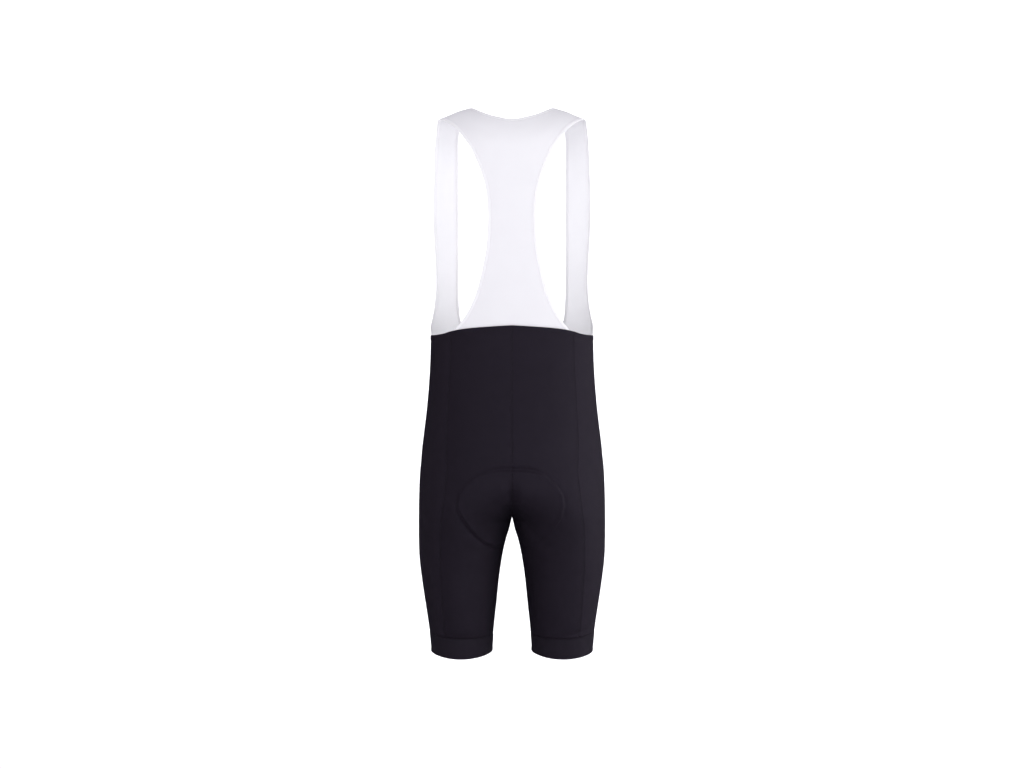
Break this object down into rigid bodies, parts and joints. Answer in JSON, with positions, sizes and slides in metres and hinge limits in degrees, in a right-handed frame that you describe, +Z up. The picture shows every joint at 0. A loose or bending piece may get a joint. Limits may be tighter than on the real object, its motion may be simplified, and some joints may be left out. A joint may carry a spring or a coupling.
{
  "type": "cycling bib shorts",
  "caption": "Close-fitting black cycling bib shorts, hollow and filled out as if worn, with a white hourglass bib back, front straps, leg bands and an inner seat pad.",
  "frame": {"origin": "midway between the two shoulder ridges, where the wearer's shoulders carry the straps", "axes": "+Z up, the back of the garment faces -Y, the wearer's right is +X"},
  "size_m": [0.316, 0.237, 0.9249],
  "materials": {
    "black_knit": "smooth matt stretch warp knit with a slight sheen",
    "black_elastic": "dense elastic band with a fine rib",
    "pad_foam": "moulded foam under a brushed knit face",
    "white_mesh": "white stretch mesh, fine and matt",
    "white_elastic": "flat white elastic binding"
  },
  "bodies": {
    "root": {"shorts_back_right": "black_knit", "shorts_back_left": "black_knit", "shorts_side_right": "black_knit", "shorts_side_left": "black_knit", "shorts_front_right": "black_knit", "shorts_front_left": "black_knit", "leg_band_right": "black_elastic", "leg_band_left": "black_elastic", "seat_pad": "pad_foam", "bib_back": "white_mesh", "strap_right": "white_mesh", "strap_left": "white_mesh", "armhole_binding_right": "white_elastic", "armhole_binding_left": "white_elastic", "neck_binding": "white_elastic"}
  },
  "joints": []
}
